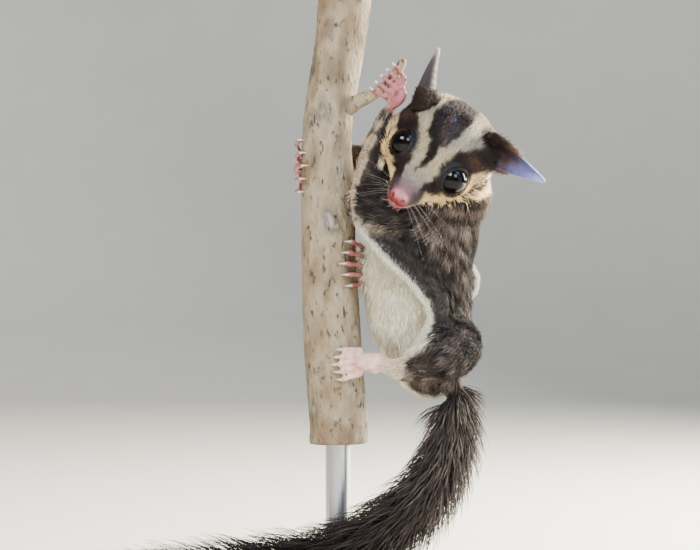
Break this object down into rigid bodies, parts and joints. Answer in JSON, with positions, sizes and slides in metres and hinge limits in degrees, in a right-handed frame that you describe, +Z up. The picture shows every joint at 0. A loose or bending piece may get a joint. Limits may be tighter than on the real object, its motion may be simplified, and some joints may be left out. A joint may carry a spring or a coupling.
{
  "type": "sugar glider",
  "caption": "Life-size sugar glider clinging to a cut length of branch, head turned to the side and tail hanging in a curve, on a plain display stand",
  "frame": {"origin": "centre of the flat underside of the stand's base", "axes": "+Z up; the camera of the picture looks along +Y, so the animal's left side faces -Y, its back faces +X and its belly faces -X towards the branch"},
  "size_m": [0.1986, 0.104, 0.2215],
  "materials": {
    "grey_fur": "short dense grey-brown fur",
    "head_fur": "short fur, cream-grey with dark stripes, pink nose",
    "cream_fur": "short cream fur",
    "tail_fur": "long soft dark fur",
    "pink_skin": "bare soft skin with pale claws",
    "ear_skin": "thin bare lilac-grey skin",
    "eye": "wet, glossy black",
    "bark": "smooth grey bark with small dark spots",
    "oak": "oiled oak",
    "steel": "brushed steel"
  },
  "bodies": {
    "root": {"head": "head_fur", "neck": "grey_fur", "torso": "grey_fur", "ear_left": "ear_skin", "ear_right": "ear_skin", "eye_left": "eye", "eye_right": "eye", "upper_arm_left": "grey_fur", "upper_arm_right": "grey_fur", "forearm_left": "grey_fur", "forearm_right": "grey_fur", "hand_left": "pink_skin", "hand_right": "pink_skin", "thigh_left": "grey_fur", "thigh_right": "grey_fur", "shank_left": "grey_fur", "shank_right": "grey_fur", "foot_left": "pink_skin", "foot_right": "pink_skin", "membrane_left": "cream_fur", "membrane_right": "cream_fur", "tail_base": "tail_fur", "tail_middle": "tail_fur", "tail_tip": "tail_fur", "branch": "bark", "stand_base": "oak", "stand_rod": "steel"}
  },
  "joints": []
}
